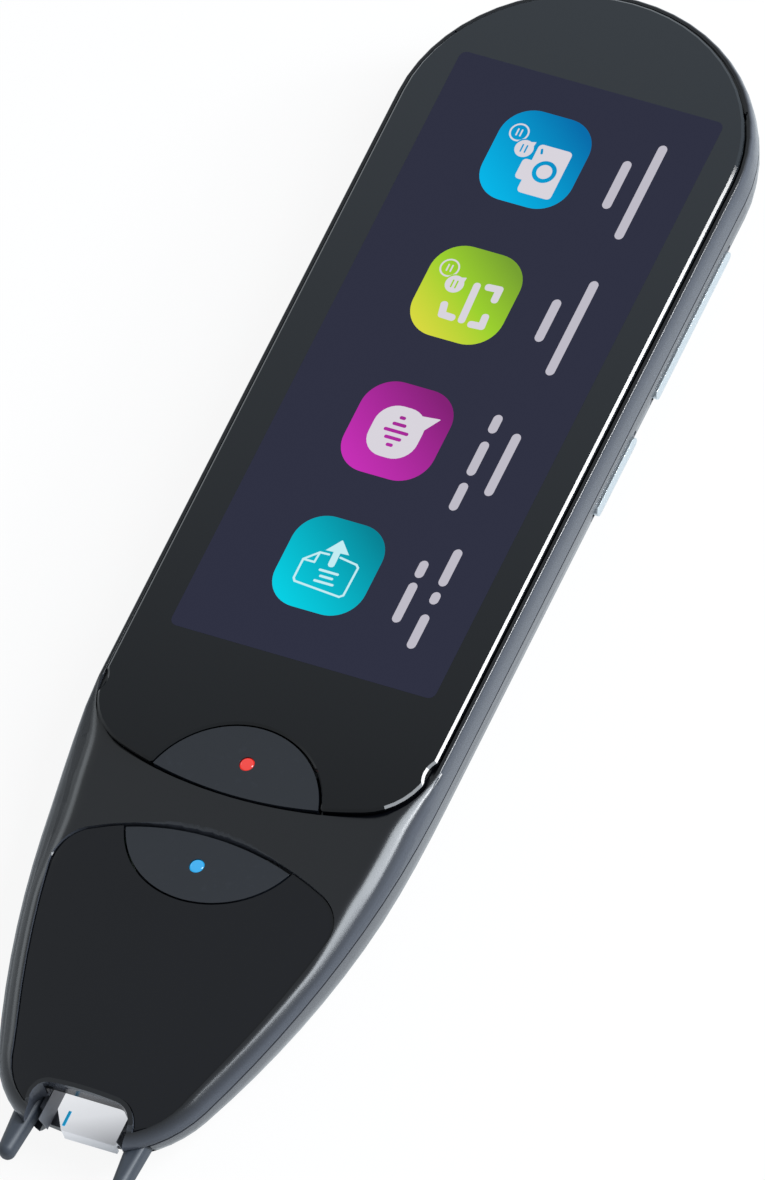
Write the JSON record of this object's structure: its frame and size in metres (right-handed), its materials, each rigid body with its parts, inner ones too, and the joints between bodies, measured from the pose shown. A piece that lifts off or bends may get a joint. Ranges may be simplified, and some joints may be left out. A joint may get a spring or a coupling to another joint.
{
  "type": "handheld scanning translator",
  "caption": "Slim handheld translator with a touch screen, two half-round buttons, side keys and an open scanning tip with sprung guide feet.",
  "frame": {"origin": "on the flat back, on the pen's centre line, halfway between the top end and the round of the nose", "axes": "+Y along the pen to its top end, +Z out of the screen, +X to the side with the volume and power keys"},
  "size_m": [0.0452, 0.1635, 0.0125],
  "materials": {
    "frame": "satin charcoal plastic",
    "shell": "fine satin grey plastic",
    "glass": "dark cover glass, polished",
    "adhesive": "black adhesive",
    "screen": "display panel",
    "plate": "stamped steel",
    "panel": "dark gloss inlay",
    "button": "satin button cap",
    "red_dot": "lit red light pipe",
    "blue_dot": "lit blue light pipe",
    "board": "circuit board",
    "contact": "plated contacts and domes",
    "led": "lamp packages",
    "key": "satin silver key",
    "brass": "brass and spring bronze",
    "chip": "black packages",
    "cell": "battery pouch",
    "tape": "pale tape",
    "wire": "insulated wire",
    "ring": "anodised ring",
    "lens": "coated lens",
    "bezel": "grey inner moulding",
    "diffuser": "white diffuser",
    "mark": "blue start mark",
    "foot": "satin blue-grey guide feet",
    "screw": "steel screws",
    "flex": "amber flexible circuit"
  },
  "bodies": {
    "housing": {"front_frame": "frame", "rear_housing": "shell", "cover_glass": "glass", "glass_adhesive": "adhesive", "touch_display": "screen", "chassis_plate": "plate", "nose_panel": "panel", "button_board": "board", "dome_switches": "contact", "indicator_leds": "led", "side_switches": "contact", "switch_bracket": "brass", "main_board": "board", "shield_can": "contact", "board_chips": "chip", "board_spacers": "brass", "battery": "cell", "battery_tape": "tape", "battery_lead": "wire", "speaker": "chip", "speaker_mesh": "plate", "rear_camera": "chip", "camera_ring": "ring", "camera_window": "lens", "microphone": "brass", "usb_socket": "contact", "usb_tongue": "chip", "scan_camera": "chip", "scan_lens": "lens", "scan_bezel": "bezel", "scan_lamps": "led", "scan_diffuser": "diffuser", "start_mark": "mark", "tip_switch": "chip", "case_screws": "screw", "display_flex": "flex", "button_flex": "flex", "scan_flex": "flex", "antenna": "brass"},
    "upper_button_cap": {"upper_button": "button", "red_light_pipe": "red_dot"},
    "lower_button_cap": {"lower_button": "button", "blue_light_pipe": "blue_dot"},
    "volume_rocker": {"volume_key": "key"},
    "power_button": {"power_key": "key"},
    "guide_feet": {"tip_fork": "foot"}
  },
  "joints": [
    {"name": "upper_button_press", "type": "slide", "parent": "housing", "child": "upper_button_cap", "axis": [0, 0, -1], "range_m": [0, 0.00035], "stiffness_N_per_m": 4000, "springref_m": -0.0001},
    {"name": "lower_button_press", "type": "slide", "parent": "housing", "child": "lower_button_cap", "axis": [0, 0, -1], "range_m": [0, 0.00035], "stiffness_N_per_m": 4000, "springref_m": -0.0001},
    {"name": "volume_rock", "type": "hinge", "parent": "housing", "child": "volume_rocker", "pos_m": [0.01985, 0.0445, 0.0052], "axis": [0, 0, 1], "range_deg": [-1.2, 1.2], "stiffness_Nm_per_rad": 0.5},
    {"name": "power_press", "type": "slide", "parent": "housing", "child": "power_button", "axis": [-1, 0, 0], "range_m": [0, 0.0003], "stiffness_N_per_m": 4000, "springref_m": -0.0001},
    {"name": "tip_press", "type": "slide", "parent": "housing", "child": "guide_feet", "axis": [0, 1, 0], "range_m": [0, 0.0008], "stiffness_N_per_m": 1000, "springref_m": -0.0002}
  ]
}
